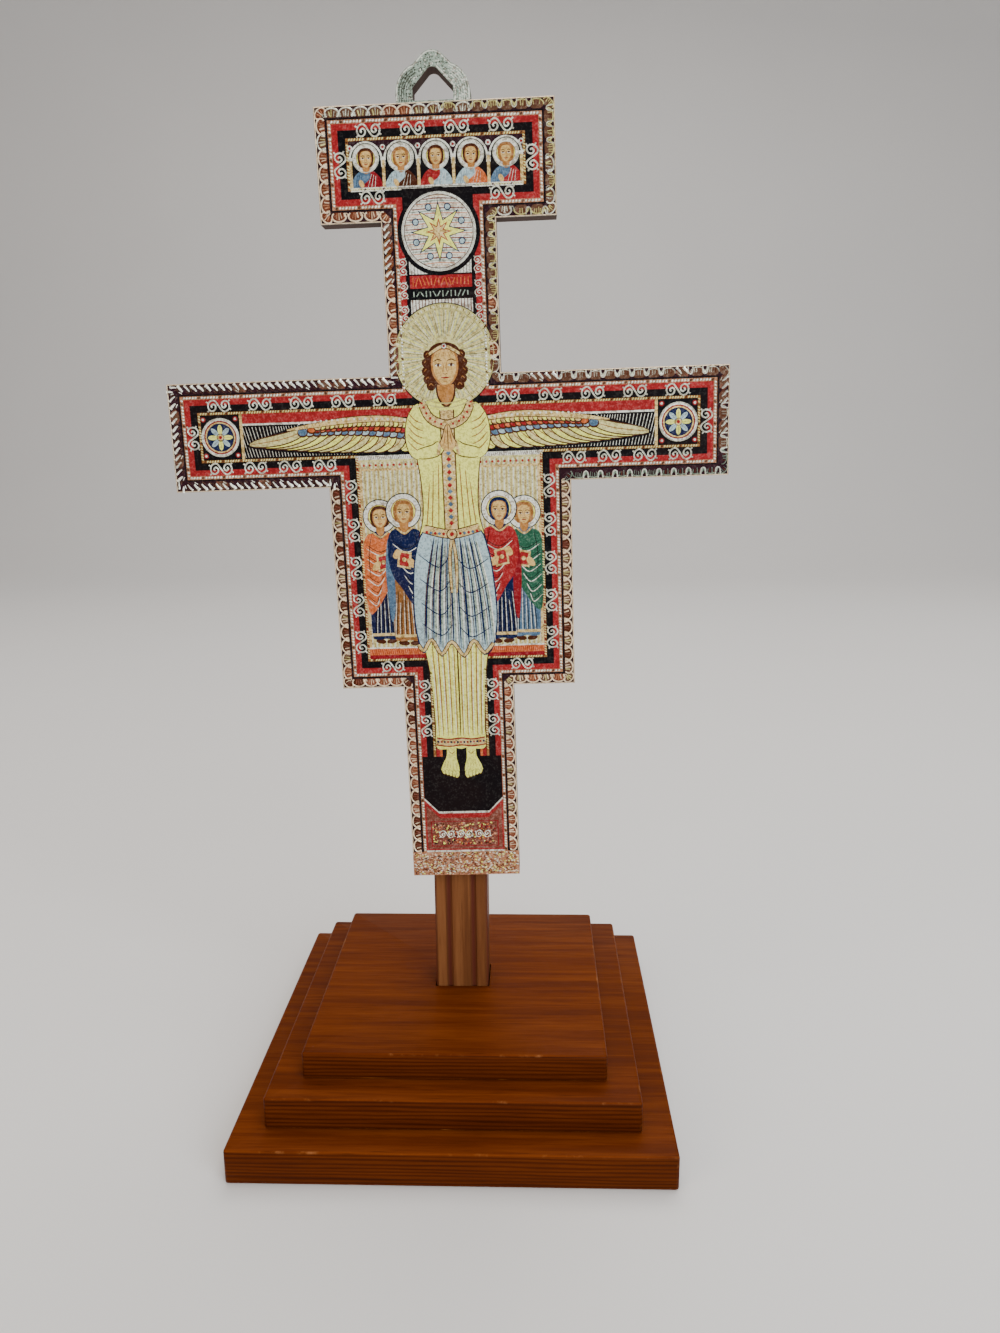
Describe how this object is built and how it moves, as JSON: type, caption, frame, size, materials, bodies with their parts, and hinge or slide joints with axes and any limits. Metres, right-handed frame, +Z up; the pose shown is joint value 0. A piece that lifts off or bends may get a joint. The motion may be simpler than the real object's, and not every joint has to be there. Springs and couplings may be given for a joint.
{
  "type": "standing icon cross",
  "caption": "Stepped board cross faced with embossed printed foil, with a hanging loop at the top, glued to a grooved wooden post in a stepped square wooden base.",
  "frame": {"origin": "centre of the underside of the base's bottom tier", "axes": "+Z up, -Y out of the printed front, +X to the right of someone who faces the front"},
  "size_m": [0.1807, 0.144, 0.3441],
  "materials": {
    "stained_wood": "reddish-brown stain under satin varnish",
    "pale_wood": "lighter brown stain, redder in the grooves and along the edges",
    "fibreboard": "laser-cut medium-density fibreboard with dark scorched edges",
    "printed_foil": "embossed gold and silver metallised foil, printed in translucent and opaque colours"
  },
  "bodies": {
    "root": {"base_tier_bottom": "stained_wood", "base_tier_middle": "stained_wood", "base_tier_top": "stained_wood", "post": "pale_wood", "icon_board": "fibreboard", "foil_facing": "printed_foil"}
  },
  "joints": []
}
